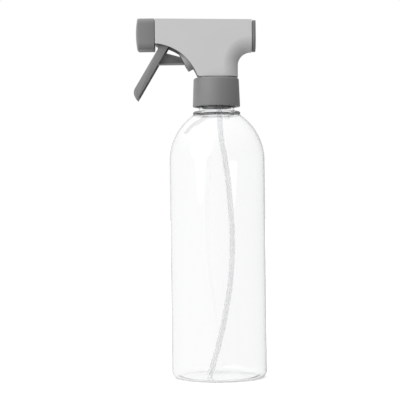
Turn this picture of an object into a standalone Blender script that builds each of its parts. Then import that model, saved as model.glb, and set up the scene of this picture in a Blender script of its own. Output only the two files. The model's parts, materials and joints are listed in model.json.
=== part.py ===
"""Hand mister: a clear bottle with a trigger-operated spray head.

Metres, +Z up. The design is drawn about the bottle's own axis, with the nozzle pointing
along -X. One empty shifts it so that the middle of its outline stands over the origin.
"""
import math

import bmesh
import bpy
from mathutils import Vector

GAP = 0.0003                    # clearance kept between faces that touch
BOTTLE_STEPS = 36               # sides of the large turned pieces
BACK_SIDES = 24                 # sides of the bar that rounds the head's back
SMALL_STEPS = 20                # sides of the small turned pieces
COIL_STEPS = 11                 # points in each turn of a spring
WELD_DISTANCE = 4e-6            # joins the hair-thin edges that a Boolean can leave
TWIST = (0, 0, 0.06)            # turns a bore's facets off those of the bore it meets

# Bottle, by radius and height
BODY_RADIUS = 0.0340
WALL = 0.0008
FLOOR = 0.0013
PUSH_UP = 0.0020
FOOT_INNER = 0.0275
FOOT_OUTER = 0.0294
SHOULDER_START = 0.1550
SHOULDER_RADIUS = 0.0400
LEDGE_RADIUS = 0.0170
LEDGE_BOTTOM = 0.1879
LEDGE_TOP = 0.1902

# Neck finish 28-410
NECK_RADIUS = 0.0127
THREAD_RADIUS = 0.0137
NECK_BORE = 0.01085
MOUTH_TOP = LEDGE_TOP + 0.0180
THREAD_PITCH = 0.004233
THREAD_TURNS = 1.5
THREAD_START = 0.1998
LIP_CHAMFER = 0.0004
NECK_WEB = 0.1876               # underside of the web between the bore and the shoulder
THREAD_ROOT_WIDTH = 0.0022
THREAD_CREST_WIDTH = 0.0010
THREAD_SINK = 0.0004            # how deep a ridge stands in the wall it is joined to
GASKET_INNER = 0.0107
GASKET_OUTER = 0.0133
GASKET_THICKNESS = 0.0010

# Closure collar
COLLAR_BOTTOM = 0.1938
COLLAR_TOP = 0.2142
COLLAR_FOOT_RADIUS = 0.0170
COLLAR_TOP_RADIUS = 0.0163
COLLAR_BORE = 0.0141
COLLAR_DISC = 0.0021
COLLAR_HOLE = 0.0098
COLLAR_EDGE = 0.0010
COLLAR_THREAD_CREST = 0.01315
COLLAR_THREAD_TURNS = 1.2
COLLAR_RIDGE_ROOT = 0.0020
COLLAR_RIDGE_CREST = 0.0009

# Head: the inclined pump cylinder, the trigger's pivot and the discharge barrel
PUMP_MOUTH = (-0.0234, 0.2260)
PUMP_ANGLE = math.radians(28.3)
PIVOT_TO_PUMP = 0.0203
BARREL_FRONT = 0.0007           # how far the barrel's origin is in front of the bottle's axis
BARREL_HEIGHT = 0.24575
STEM_X = 0.0020
CYLINDER_RADIUS = 0.0078
CYLINDER_BORE = 0.0064
CYLINDER_DEPTH = 0.0200
PISTON_FACE = 0.00255
BARREL_RADIUS = 0.0050
NOSE_RADIUS = 0.0046
NOSE_END = 0.0510
CHAMBER_RADIUS = 0.0034
CHAMBER_START = 0.0360
TRUNNION_RADIUS = 0.0020
FLANGE_RADIUS = 0.0134
BOSS_RADIUS = 0.0092
STEM_RADIUS = 0.0055
STEM_BOTTOM = 0.2030
STEM_TOP = 0.2480
BOSS_TOP = 0.2190
PLUG_BOTTOM = 0.2055
PLUG_GAP = 0.00045              # between the plug and the neck's bore
BARREL_BACK = -0.0080
NOSE_START = 0.0425
CYLINDER_LENGTH = 0.0225
CYLINDER_NECK_RADIUS = 0.0045
CYLINDER_NECK_END = 0.0270
TRUNNION_REACH = 0.0084
SPINE_HALF_WIDTH = 0.0009
DUCT_RADIUS = 0.0015            # liquid's way up the stem and along the barrel
DUCT_START = 0.2240
BALL_CHAMBER_RADIUS = 0.0026
BALL_SEAT_HEIGHT = 0.2198
RETAINER_BORE = 0.0040
PORT_RADIUS = 0.0014
SEAL_GROOVE = (0.0455, 0.0471)  # from and to, along the barrel
PLUG_CORING = (0.0080, 0.0094)  # inner and outer radius
VENT_X = -0.0075
VENT_RADIUS = 0.0007
BALL_RADIUS = 0.0020

# Piston and its seals
SPOOL_RADIUS = 0.0044
SPOOL_FLANGE = 0.0058
SPOOL_LENGTH = 0.0066
SPOOL_TAIL_RADIUS = 0.0026
SPOOL_TAIL_END = 0.0087
LIP_THICKNESS = 0.0006
RETURN_COIL_RADIUS = 0.0036
RETURN_WIRE = 0.00035
COIL_TURNS = 4.5

# Outlet valve and swirl plug, inside the nose
VALVE_RADIUS = 0.0029
VALVE_STEM_RADIUS = 0.0013
VALVE_HEAD = 0.0011
VALVE_LENGTH = 0.0036
OUTLET_COIL_RADIUS = 0.0021
OUTLET_WIRE = 0.00025
SPINNER_REAR = 0.0447
SPINNER_RADIUS = 0.0031
SPINNER_STEP = 0.0496
SPINNER_TIP_RADIUS = 0.0018
SPINNER_FRONT = 0.0508
SEAL_RING_RADIUS = 0.00475
SEAL_RING_WIRE = 0.00045

# Shroud
SHROUD_HALF_WIDTH = 0.0110
SHROUD_WALL = 0.0015
SHROUD_FRONT = -0.0434
SHROUD_REAR = 0.0256
SHROUD_TOP_FRONT = 0.2563
SHROUD_TOP_REAR = 0.25505
SHROUD_UNDERSIDE = 0.2326
SHROUD_BOTTOM = 0.2150
REAR_CAP_BACK = 0.0284
ARC_CENTRE = (-0.0464, 0.2037)
ARC_RADIUS = 0.0351
STEM_ROUND_X = 0.0047
STEM_FILLET = 0.0094            # the bend has to end in front of the shroud's rear
HOLLOW_LAP = 0.00010            # the hollow's round cutter is wider, so that the two cutters cross
TOE_FILLET = 0.0030             # where the shroud's concave arc meets its foot

# Nozzle cap, by distance in front of the barrel's origin
CAP_REAR = 0.0431
CAP_FRONT = 0.0567
CAP_HALF = 0.01115
CAP_CORNER = 0.0040
CAP_DOME_RADIUS = 0.0616
CAP_WALL = 0.0017
HUB_RADIUS = 0.0070
HUB_BORE = 0.0055
INSERT_RADIUS = 0.0029
INSERT_REAR = 0.0540
INSERT_FRONT = 0.0562
ORIFICE_RADIUS = 0.0004
CAP_INSIDE_FRONT = 0.0523
CAP_REACH = 0.0175              # out to beyond the cap's corners

# Trigger
TRIGGER_HALF_WIDTH = 0.0080
TRIGGER_WALL = 0.0016
TRIGGER_FRONT_PLATE = 0.0018
TRIGGER_REACH = 0.0588
FRONT_EDGE_LOW = (-0.0611, 0.2020)
FRONT_EDGE_HIGH = (-0.0414, 0.2350)
TIP_RADIUS = 0.0062
ARM_HALF_WIDTH = 0.0022
ARM_FLANGE_HALF_WIDTH = 0.0032
ARM_BOTTOM = 0.2244
ARM_NOSE = 0.0022               # how far the arm reaches into the cylinder

# Dip tube
TUBE_RADIUS = 0.00205
TUBE_WALL = 0.0007
TUBE_ROUTE = [
    (0.0020, 0.0000, 0.2134), (0.0020, 0.0000, 0.2040), (0.0021, 0.0000, 0.1900),
    (0.0033, -0.0002, 0.1702), (0.0058, -0.0006, 0.1554), (0.0084, -0.0017, 0.1330),
    (0.0102, -0.0042, 0.0990), (0.0088, -0.0072, 0.0712), (0.0067, -0.0088, 0.0577),
    (0.0029, -0.0118, 0.0375), (-0.0025, -0.0151, 0.0172), (-0.0071, -0.0176, 0.0034),
]

# The outline reaches from the trigger's tip to the back of the bottle
AXIS_X = (TRIGGER_REACH - BODY_RADIUS) / 2

SIDE_ON = (math.pi / 2, 0, 0)   # turns an outline's x, y into the design's x, z
PUMP_AXIS = Vector((math.cos(PUMP_ANGLE), 0, math.sin(PUMP_ANGLE)))
PUMP_DOWN = Vector((math.sin(PUMP_ANGLE), 0, -math.cos(PUMP_ANGLE)))
PIVOT = Vector((PUMP_MOUTH[0], 0, PUMP_MOUTH[1])) - PIVOT_TO_PUMP * PUMP_DOWN


def clear_scene():
    for obj in list(bpy.data.objects):
        bpy.data.objects.remove(obj, do_unlink=True)


def collection(name):
    made = bpy.data.collections.new(name)
    bpy.context.scene.collection.children.link(made)
    return made


def material(name, colour, roughness, metallic=0.0, alpha=1.0):
    made = bpy.data.materials.new(name)
    made.use_nodes = True
    shader = made.node_tree.nodes["Principled BSDF"]
    shader.inputs["Base Color"].default_value = (*colour, 1.0)
    shader.inputs["Roughness"].default_value = roughness
    shader.inputs["Metallic"].default_value = metallic
    shader.inputs["Alpha"].default_value = alpha
    made.diffuse_color = (*colour, alpha)
    return made


def empty(name, location=(0, 0, 0), rotation=(0, 0, 0), parent=None):
    made = bpy.data.objects.new(name, None)
    made.location = location
    made.rotation_euler = rotation
    made.parent = parent
    bpy.context.scene.collection.objects.link(made)
    return made


def place(obj, parent, location=(0, 0, 0), rotation=(0, 0, 0)):
    obj.location = location
    obj.rotation_euler = rotation
    obj.parent = parent
    parts.objects.link(obj)
    return obj


def finish(obj, surface):
    """Gives a finished piece its material and smooth round faces."""
    obj.data.materials.clear()
    obj.data.materials.append(surface)
    obj.data.shade_smooth()
    obj.data.set_sharp_from_angle(angle=math.radians(35))
    return obj


def as_mesh(drawn):
    """Replaces a curve by the mesh it draws, its caps welded on."""
    bpy.context.view_layer.update()
    graph = bpy.context.evaluated_depsgraph_get()
    mesh = bpy.data.meshes.new_from_object(drawn.evaluated_get(graph))
    shape = bmesh.new()
    shape.from_mesh(mesh)
    bmesh.ops.remove_doubles(shape, verts=shape.verts, dist=1e-7)
    bmesh.ops.recalc_face_normals(shape, faces=shape.faces)
    shape.to_mesh(mesh)
    shape.free()
    name = drawn.name
    parent, location, rotation = drawn.parent, drawn.location.copy(), drawn.rotation_euler.copy()
    bpy.data.objects.remove(drawn, do_unlink=True)
    return place(bpy.data.objects.new(name, mesh), parent, location, rotation)


def arc(centre, radius, start, end, count):
    """Points of a circle between two angles in degrees, both ends included."""
    points = []
    for index in range(count + 1):
        angle = math.radians(start + (end - start) * index / count)
        points.append((centre[0] + radius * math.cos(angle), centre[1] + radius * math.sin(angle)))
    return points


def rounded(corners, count=5):
    """An outline through (x, y, radius) corners, each corner filleted by its radius."""
    outline = []
    for index, (x, y, radius) in enumerate(corners):
        corner = Vector((x, y))
        back = (Vector(corners[index - 1][:2]) - corner).normalized()
        ahead = (Vector(corners[(index + 1) % len(corners)][:2]) - corner).normalized()
        if radius == 0:
            outline.append((x, y))
            continue
        half = back.angle(ahead) / 2
        centre = corner + (back + ahead).normalized() * radius / math.sin(half)
        first = corner + back * radius / math.tan(half) - centre
        last = corner + ahead * radius / math.tan(half) - centre
        start = math.degrees(math.atan2(first.y, first.x))
        turn = math.degrees(math.atan2(last.y, last.x)) - start
        turn = (turn + 180) % 360 - 180
        outline += arc(centre, radius, start, start + turn, count)
    return outline


def turned(name, profile, parent, ring=False, steps=SMALL_STEPS, location=(0, 0, 0), rotation=(0, 0, 0)):
    """Turns a profile of (radius, height) points about Z. A ring's profile is a closed loop."""
    edges = [(index, index + 1) for index in range(len(profile) - 1)]
    if ring:
        edges.append((len(profile) - 1, 0))
    mesh = bpy.data.meshes.new(name)
    mesh.from_pydata([(radius, 0, height) for radius, height in profile], edges, [])
    made = place(bpy.data.objects.new(name, mesh), parent, location, rotation)
    screw = made.modifiers.new("Turn", "SCREW")
    screw.axis = "Z"
    screw.angle = math.tau
    screw.steps = steps
    screw.render_steps = steps
    screw.use_merge_vertices = True
    screw.merge_threshold = 1e-6
    return made


def rod(name, radius, bottom, top, parent, steps=SMALL_STEPS, location=(0, 0, 0), rotation=(0, 0, 0)):
    profile = [(0, top), (radius, top), (radius, bottom), (0, bottom)]
    return turned(name, profile, parent, steps=steps, location=location, rotation=rotation)


def washer(name, inner, outer, bottom, top, parent, steps=SMALL_STEPS):
    profile = [(outer, top), (outer, bottom), (inner, bottom), (inner, top)]
    return turned(name, profile, parent, ring=True, steps=steps)


def prism(name, outline, half_depth, parent, location=(0, 0, 0), rotation=SIDE_ON):
    """A flat outline given a thickness, half of it to each side."""
    curve = bpy.data.curves.new(name, "CURVE")
    curve.dimensions = "2D"
    curve.fill_mode = "BOTH"
    curve.extrude = half_depth
    spline = curve.splines.new("POLY")
    spline.points.add(len(outline) - 1)
    for point, (x, y) in zip(spline.points, outline):
        point.co = (x, y, 0, 1)
    spline.use_cyclic_u = True
    return as_mesh(place(bpy.data.objects.new(name, curve), parent, location, rotation))


def box(name, low, high, parent, rotation=(0, 0, 0)):
    mesh = bpy.data.meshes.new(name)
    shape = bmesh.new()
    bmesh.ops.create_cube(shape, size=1.0)
    middle = (Vector(low) + Vector(high)) / 2
    bmesh.ops.scale(shape, vec=Vector(high) - Vector(low), verts=shape.verts)
    bmesh.ops.translate(shape, vec=middle, verts=shape.verts)
    shape.to_mesh(mesh)
    shape.free()
    return place(bpy.data.objects.new(name, mesh), parent, rotation=rotation)


def coil(name, radius, wire, bottom, top, turns, parent):
    """A compression spring about Z, between two heights."""
    curve = bpy.data.curves.new(name, "CURVE")
    curve.dimensions = "3D"
    curve.bevel_depth = wire
    curve.bevel_resolution = 2
    curve.use_fill_caps = True
    spline = curve.splines.new("POLY")
    count = round(turns * COIL_STEPS)
    spline.points.add(count)
    for index, point in enumerate(spline.points):
        angle = math.tau * turns * index / count
        height = bottom + wire + (top - bottom - 2 * wire) * index / count
        point.co = (radius * math.cos(angle), radius * math.sin(angle), height, 1)
    return as_mesh(place(bpy.data.objects.new(name, curve), parent))


def helix_ridge(name, root, crest, root_width, crest_width, start, turns, parent):
    """A thread ridge: a tapered section swept along a right-hand helix, its ends capped."""
    sign = 1 if crest > root else -1
    section = [
        (root, start + sign * root_width / 2), (crest, start + sign * crest_width / 2),
        (crest, start - sign * crest_width / 2), (root, start - sign * root_width / 2),
    ]
    made = turned(name, section, parent, ring=True)
    screw = made.modifiers["Turn"]
    screw.use_merge_vertices = False
    screw.angle = math.tau * turns
    screw.screw_offset = THREAD_PITCH * turns
    screw.steps = round(SMALL_STEPS * turns)
    screw.render_steps = screw.steps
    bpy.context.view_layer.update()
    graph = bpy.context.evaluated_depsgraph_get()
    mesh = bpy.data.meshes.new_from_object(made.evaluated_get(graph))
    bpy.data.objects.remove(made, do_unlink=True)
    shape = bmesh.new()
    shape.from_mesh(mesh)
    bmesh.ops.holes_fill(shape, edges=shape.edges, sides=0)
    bmesh.ops.recalc_face_normals(shape, faces=shape.faces)
    shape.to_mesh(mesh)
    shape.free()
    return place(bpy.data.objects.new(name, mesh), parent)


def boolean(target, tool, operation):
    """Adds a Boolean, a Weld for its shortest edges, and puts its tool away with the cutters."""
    step = target.modifiers.new(tool.name, "BOOLEAN")
    step.operation = operation
    step.object = tool
    weld = target.modifiers.new(tool.name + "_weld", "WELD")
    weld.merge_threshold = WELD_DISTANCE
    parts.objects.unlink(tool)
    cutters.objects.link(tool)
    tool.hide_render = True
    tool.display_type = "WIRE"
    return target


def cut(target, *tools):
    for tool in tools:
        boolean(target, tool, "DIFFERENCE")
    return target


def join(target, *tools):
    for tool in tools:
        boolean(target, tool, "UNION")
    return target


def smooth_route(points, count):
    """Points along a Catmull-Rom curve through the route, evenly shared among its spans."""
    route = [Vector(point) for point in points]
    route = [2 * route[0] - route[1]] + route + [2 * route[-1] - route[-2]]
    spans = len(route) - 3
    smooth = []
    for index in range(count + 1):
        place_on = min(index * spans / count, spans - 1e-9)
        span = int(place_on)
        t = place_on - span
        a, b, c, d = route[span:span + 4]
        smooth.append(b + t * (c - a) / 2 + t * t * (a - 2.5 * b + 2 * c - d / 2)
                      + t * t * t * (1.5 * (b - c) + (d - a) / 2))
    return smooth


def make_bottle(axis):
    centre = (BODY_RADIUS - SHOULDER_RADIUS, SHOULDER_START)
    foot = (FOOT_OUTER, BODY_RADIUS - FOOT_OUTER)
    rise = math.degrees(math.asin((LEDGE_BOTTOM - SHOULDER_START) / SHOULDER_RADIUS))
    inner_radius = SHOULDER_RADIUS - WALL
    inner_rise = math.degrees(math.asin((NECK_WEB - WALL - SHOULDER_START) / inner_radius))
    base = [FOOT_INNER * share for share in (0, 0.35, 0.65, 0.9)]
    dome = [(radius, PUSH_UP * (1 - (radius / FOOT_INNER) ** 2)) for radius in base]
    inside = [(radius, height + FLOOR) for radius, height in dome]
    inside += arc(foot, foot[1] - WALL, -90, 0, 4)
    inside += arc(centre, inner_radius, 0, inner_rise, 8)
    lip = [
        (NECK_BORE + WALL, NECK_WEB), (NECK_BORE, NECK_WEB + WALL),
        (NECK_BORE, MOUTH_TOP - LIP_CHAMFER), (NECK_BORE + LIP_CHAMFER, MOUTH_TOP),
        (NECK_RADIUS - LIP_CHAMFER, MOUTH_TOP), (NECK_RADIUS, MOUTH_TOP - LIP_CHAMFER),
    ]
    outside = [(NECK_RADIUS, LEDGE_TOP), (LEDGE_RADIUS, LEDGE_TOP), (LEDGE_RADIUS, LEDGE_BOTTOM)]
    outside += arc(centre, SHOULDER_RADIUS, rise, 0, 8)
    outside += arc(foot, foot[1], 0, -90, 4)
    outside += [(FOOT_INNER, 0)] + dome[::-1]
    bottle = turned("bottle", inside + lip + outside, axis, steps=BOTTLE_STEPS)
    thread = helix_ridge("neck_thread", NECK_RADIUS - THREAD_SINK, THREAD_RADIUS, THREAD_ROOT_WIDTH,
                         THREAD_CREST_WIDTH, THREAD_START, THREAD_TURNS, axis)
    join(bottle, thread)
    return finish(bottle, material("clear_pet", (0.90, 0.92, 0.93), 0.05, alpha=0.25))


def make_collar(axis):
    profile = arc((COLLAR_TOP_RADIUS - COLLAR_EDGE, COLLAR_TOP - COLLAR_EDGE), COLLAR_EDGE, 90, 0, 3)
    profile += [
        (COLLAR_FOOT_RADIUS, COLLAR_BOTTOM), (COLLAR_BORE, COLLAR_BOTTOM),
        (COLLAR_BORE, COLLAR_TOP - COLLAR_DISC), (COLLAR_HOLE, COLLAR_TOP - COLLAR_DISC),
        (COLLAR_HOLE, COLLAR_TOP),
    ]
    collar = turned("closure_collar", profile, axis, ring=True, steps=BOTTLE_STEPS)
    ridge = helix_ridge("collar_thread", COLLAR_BORE + THREAD_SINK, COLLAR_THREAD_CREST,
                        COLLAR_RIDGE_ROOT, COLLAR_RIDGE_CREST, THREAD_START - THREAD_PITCH / 2,
                        COLLAR_THREAD_TURNS, axis)
    join(collar, ridge)
    return finish(collar, material("collar_plastic", (0.22, 0.22, 0.22), 0.42))


def make_gasket(axis):
    gasket = washer("neck_gasket", GASKET_INNER, GASKET_OUTER, MOUTH_TOP + GAP,
                    MOUTH_TOP + GAP + GASKET_THICKNESS, axis, steps=BOTTLE_STEPS)
    return finish(gasket, material("gasket_foam", (0.80, 0.80, 0.78), 0.85))


def make_pump_body(axis, pump, barrel):
    """One moulding: flange and boss, stem, discharge barrel, inclined cylinder and trunnions."""
    flange_top = COLLAR_TOP - COLLAR_DISC - GAP
    flange_bottom = MOUTH_TOP + GASKET_THICKNESS + 2 * GAP
    plug_radius = NECK_BORE - PLUG_GAP
    profile = [
        (0, BOSS_TOP), (BOSS_RADIUS, BOSS_TOP), (BOSS_RADIUS, flange_top), (FLANGE_RADIUS, flange_top),
        (FLANGE_RADIUS, flange_bottom), (plug_radius, flange_bottom), (plug_radius, PLUG_BOTTOM),
        (0, PLUG_BOTTOM),
    ]
    body = turned("pump_body", profile, axis, steps=BOTTLE_STEPS)
    stem = rod("stem_outer", STEM_RADIUS, STEM_BOTTOM, STEM_TOP, axis, location=(STEM_X, 0, 0))
    barrel_outer = turned("barrel_outer", [
        (0, NOSE_END), (NOSE_RADIUS, NOSE_END), (NOSE_RADIUS, NOSE_START), (BARREL_RADIUS, NOSE_START),
        (BARREL_RADIUS, BARREL_BACK), (0, BARREL_BACK),
    ], barrel)
    cylinder = rod("cylinder_outer", CYLINDER_RADIUS, 0, CYLINDER_LENGTH, pump, steps=32)
    neck = rod("cylinder_neck", CYLINDER_NECK_RADIUS, CYLINDER_LENGTH - 0.0010, CYLINDER_NECK_END, pump)
    trunnions = rod("trunnions", TRUNNION_RADIUS, -TRUNNION_REACH, TRUNNION_REACH, axis, location=PIVOT,
                    rotation=SIDE_ON)
    spine = box("spine", (-0.0340, -SPINE_HALF_WIDTH, 0.2497), (0.0120, SPINE_HALF_WIDTH, 0.2531), axis)
    join(body, stem, barrel_outer, cylinder, neck, trunnions, spine)
    duct_top = BARREL_HEIGHT + 0.0004
    stem_bore = turned("stem_bore", [
        (0, duct_top), (DUCT_RADIUS, duct_top), (DUCT_RADIUS, DUCT_START), (BALL_CHAMBER_RADIUS, DUCT_START),
        (BALL_CHAMBER_RADIUS, BALL_SEAT_HEIGHT), (RETAINER_BORE, BALL_SEAT_HEIGHT),
        (RETAINER_BORE, STEM_BOTTOM - 0.0030), (0, STEM_BOTTOM - 0.0030),
    ], axis, location=(STEM_X, 0, 0), rotation=TWIST)
    duct_back = -STEM_X - 0.0009
    barrel_bore = turned("barrel_bore", [
        (0, NOSE_END + 0.0010), (CHAMBER_RADIUS, NOSE_END + 0.0010), (CHAMBER_RADIUS, CHAMBER_START),
        (DUCT_RADIUS + 0.0001, CHAMBER_START), (DUCT_RADIUS + 0.0001, duct_back), (0, duct_back),
    ], barrel)
    cylinder_bore = turned("cylinder_bore", [
        (0, 0.0288), (PORT_RADIUS, 0.0288), (PORT_RADIUS, CYLINDER_DEPTH), (CYLINDER_BORE, CYLINDER_DEPTH),
        (CYLINDER_BORE, -0.0010), (0, -0.0010),
    ], pump, steps=32, rotation=TWIST)
    groove = washer("seal_groove", 0.0040, 0.0060, *SEAL_GROOVE, barrel)
    coring = washer("plug_coring", *PLUG_CORING, PLUG_BOTTOM - 0.0015, 0.2095, axis, steps=BOTTLE_STEPS)
    arm_notch = box("arm_notch", (-0.0100, -0.0029, -0.0010), (-0.0054, 0.0029, 0.0032), pump)
    vent = rod("vent_port", VENT_RADIUS, 0.2080, 0.2200, axis, steps=12, location=(VENT_X, 0, 0))
    by_pass = box("ball_by_pass", (STEM_X - 0.0024, -0.0005, 0.2230), (STEM_X + 0.0024, 0.0005, 0.2262), axis)
    cut(body, stem_bore, barrel_bore, cylinder_bore, groove, coring, arm_notch, vent, by_pass)
    return finish(body, material("pump_plastic", (0.38, 0.38, 0.38), 0.45))


def make_inlet(axis):
    """The insert pressed into the stem, and the check ball that rests on its cone."""
    socket = TUBE_RADIUS + GAP
    retainer = turned("tube_retainer", [
        (0.0037, 0.2190), (0.0037, 0.2024), (socket, 0.2024), (socket, 0.2137), (0.0012, 0.2137),
        (0.0012, 0.2172), (BALL_CHAMBER_RADIUS, 0.2190),
    ], axis, ring=True, location=(STEM_X, 0, 0))
    finish(retainer, material("retainer_plastic", (0.75, 0.75, 0.74), 0.50))
    mesh = bpy.data.meshes.new("inlet_ball")
    shape = bmesh.new()
    bmesh.ops.create_uvsphere(shape, u_segments=14, v_segments=8, radius=BALL_RADIUS)
    shape.to_mesh(mesh)
    shape.free()
    ball = place(bpy.data.objects.new("inlet_ball", mesh), axis, location=(STEM_X, 0, 0.2195))
    finish(ball, material("ball_steel", (0.62, 0.62, 0.63), 0.15, metallic=1.0))


def make_dip_tube(axis):
    """An open tube along the route, its wall grown inwards."""
    curve = bpy.data.curves.new("dip_tube", "CURVE")
    curve.dimensions = "3D"
    curve.bevel_depth = TUBE_RADIUS
    curve.bevel_resolution = 3
    route = smooth_route(TUBE_ROUTE, 30)
    spline = curve.splines.new("POLY")
    spline.points.add(len(route) - 1)
    for point, where in zip(spline.points, route):
        point.co = (*where, 1)
    tube = as_mesh(place(bpy.data.objects.new("dip_tube", curve), axis))
    wall = tube.modifiers.new("Wall", "SOLIDIFY")
    wall.thickness = TUBE_WALL
    wall.offset = -1
    return finish(tube, material("tube_plastic", (0.85, 0.86, 0.87), 0.30, alpha=0.6))


def make_pump_train(pump):
    """The piston, its two lip seals and the return spring, along the cylinder's axis."""
    face = PISTON_FACE
    piston = turned("piston", [
        (0, face + SPOOL_TAIL_END), (SPOOL_TAIL_RADIUS, face + SPOOL_TAIL_END),
        (SPOOL_TAIL_RADIUS, face + SPOOL_LENGTH), (SPOOL_RADIUS, face + SPOOL_LENGTH),
        (SPOOL_RADIUS, face + 0.0040), (SPOOL_FLANGE, face + 0.0040), (SPOOL_FLANGE, face + 0.0032),
        (SPOOL_RADIUS, face + 0.0032), (SPOOL_RADIUS, face + 0.0010), (SPOOL_FLANGE, face + 0.0010),
        (SPOOL_FLANGE, face), (0, face),
    ], pump)
    finish(piston, material("piston_plastic", (0.82, 0.82, 0.80), 0.40))
    rubber = material("seal_rubber", (0.12, 0.12, 0.13), 0.60)
    seat = SPOOL_RADIUS + GAP
    lip = CYLINDER_BORE - GAP
    vent_seal = turned("vent_seal", [
        (lip - LIP_THICKNESS, face + 0.0029), (lip, face + 0.0013), (seat, face + 0.0013),
        (seat, face + 0.0029),
    ], pump, ring=True)
    finish(vent_seal, rubber)
    piston_seal = turned("piston_seal", [
        (lip, face + 0.0070), (lip - 0.0005, face + 0.0043), (seat, face + 0.0043), (seat, face + 0.0063),
        (lip - 0.0005, face + 0.0066),
    ], pump, ring=True)
    finish(piston_seal, rubber.copy())
    spring = coil("return_spring", RETURN_COIL_RADIUS, RETURN_WIRE, face + SPOOL_LENGTH + GAP,
                  CYLINDER_DEPTH - GAP, COIL_TURNS, pump)
    finish(spring, material("spring_steel", (0.60, 0.60, 0.62), 0.25, metallic=1.0))


def make_outlet(barrel):
    """The outlet poppet, its spring, the swirl plug and the o-ring, inside the barrel's nose."""
    seat = CHAMBER_START + GAP
    valve = turned("outlet_valve", [
        (0, seat + VALVE_LENGTH), (VALVE_STEM_RADIUS, seat + VALVE_LENGTH),
        (VALVE_STEM_RADIUS, seat + VALVE_HEAD), (VALVE_RADIUS, seat + VALVE_HEAD), (VALVE_RADIUS, seat),
        (0, seat),
    ], barrel)
    finish(valve, material("valve_plastic", (0.70, 0.70, 0.68), 0.45))
    spring = coil("outlet_valve_spring", OUTLET_COIL_RADIUS, OUTLET_WIRE, seat + VALVE_HEAD + GAP,
                  SPINNER_REAR - GAP, COIL_TURNS, barrel)
    finish(spring, material("small_spring_steel", (0.60, 0.60, 0.62), 0.25, metallic=1.0))
    spinner = turned("spinner", [
        (0, SPINNER_FRONT), (SPINNER_TIP_RADIUS, SPINNER_FRONT), (SPINNER_TIP_RADIUS, SPINNER_STEP),
        (SPINNER_RADIUS, SPINNER_STEP), (SPINNER_RADIUS, SPINNER_REAR), (0, SPINNER_REAR),
    ], barrel)
    for index in range(3):
        slot = box("swirl_slot", (0.0024, -0.0004, 0.0440), (0.0040, 0.0004, 0.0500), barrel,
                   rotation=(0, 0, math.tau * index / 3))
        cut(spinner, slot)
    finish(spinner, material("spinner_plastic", (0.70, 0.70, 0.70), 0.45))
    section = arc((SEAL_RING_RADIUS, sum(SEAL_GROOVE) / 2), SEAL_RING_WIRE, 0, -300, 5)
    ring = turned("nozzle_seal", section, barrel, ring=True)
    finish(ring, material("ring_rubber", (0.08, 0.08, 0.08), 0.60))


def square(half, corner, count=5):
    return rounded([(half, half, corner), (-half, half, corner), (-half, -half, corner),
                    (half, -half, corner)], count)


def make_nozzle(nozzle):
    """A square cap with a domed front, a hub that turns on the nose, and its orifice insert."""
    length = CAP_FRONT - CAP_REAR
    cap = prism("nozzle_cap", square(CAP_HALF, CAP_CORNER), length / 2, nozzle,
                location=(0, 0, CAP_REAR + length / 2), rotation=(0, 0, 0))
    radii = [CAP_REACH * index / 6 for index in range(7)]
    dome = [(radius, CAP_FRONT - radius ** 2 / (2 * CAP_DOME_RADIUS)) for radius in radii]
    envelope = turned("cap_envelope", dome + [(CAP_REACH, CAP_REAR - 0.0010), (0, CAP_REAR - 0.0010)], nozzle,
                      steps=BOTTLE_STEPS)
    boolean(cap, envelope, "INTERSECT")
    inner_half = CAP_HALF - CAP_WALL
    hollow = prism("cap_hollow", square(inner_half, CAP_CORNER - CAP_WALL), 0.0060, nozzle,
                   location=(0, 0, CAP_INSIDE_FRONT - 0.0060), rotation=(0, 0, 0))
    hub = rod("cap_hub", HUB_RADIUS, CAP_REAR + 0.0006, 0.0530, nozzle)
    hub_bore = turned("cap_bore", [
        (0, 0.0580), (INSERT_RADIUS + GAP, 0.0580), (INSERT_RADIUS + GAP, INSERT_REAR - GAP),
        (0.0014, INSERT_REAR - GAP), (0.0014, NOSE_END + 0.0004), (HUB_BORE, NOSE_END + 0.0004),
        (HUB_BORE, 0.0410), (0, 0.0410),
    ], nozzle)
    cut(cap, hollow)
    join(cap, hub)
    cut(cap, hub_bore)
    finish(cap, material("nozzle_plastic", (0.23, 0.23, 0.23), 0.40))
    insert = turned("orifice_insert", [
        (INSERT_RADIUS, INSERT_FRONT), (INSERT_RADIUS, INSERT_REAR), (0.0010, INSERT_REAR),
        (ORIFICE_RADIUS, 0.0551), (ORIFICE_RADIUS, 0.0555), (0.0012, INSERT_FRONT),
    ], nozzle, ring=True)
    finish(insert, material("insert_plastic", (0.16, 0.16, 0.16), 0.38))


def back_path(bottom, rear):
    """The centreline of the head's round back: up the stem, round the bend and out to the rear."""
    bend_radius = STEM_FILLET + SHROUD_HALF_WIDTH
    bend = (STEM_ROUND_X + bend_radius, SHROUD_UNDERSIDE + SHROUD_HALF_WIDTH - bend_radius)
    return [(STEM_ROUND_X, bottom)] + arc(bend, bend_radius, 180, 90, 9) + [(rear, bend[1] + bend_radius)]


def round_back(name, radius, bottom, rear, parent):
    """A round bar along the back path: its outer half is the head's back and underside."""
    curve = bpy.data.curves.new(name, "CURVE")
    curve.dimensions = "3D"
    curve.bevel_depth = radius
    curve.bevel_resolution = BACK_SIDES // 2 - 2
    curve.use_fill_caps = True
    path = back_path(bottom, rear)
    spline = curve.splines.new("POLY")
    spline.points.add(len(path) - 1)
    for point, (x, z) in zip(spline.points, path):
        point.co = (x, 0, z, 1)
    return as_mesh(place(bpy.data.objects.new(name, curve), parent))


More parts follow.
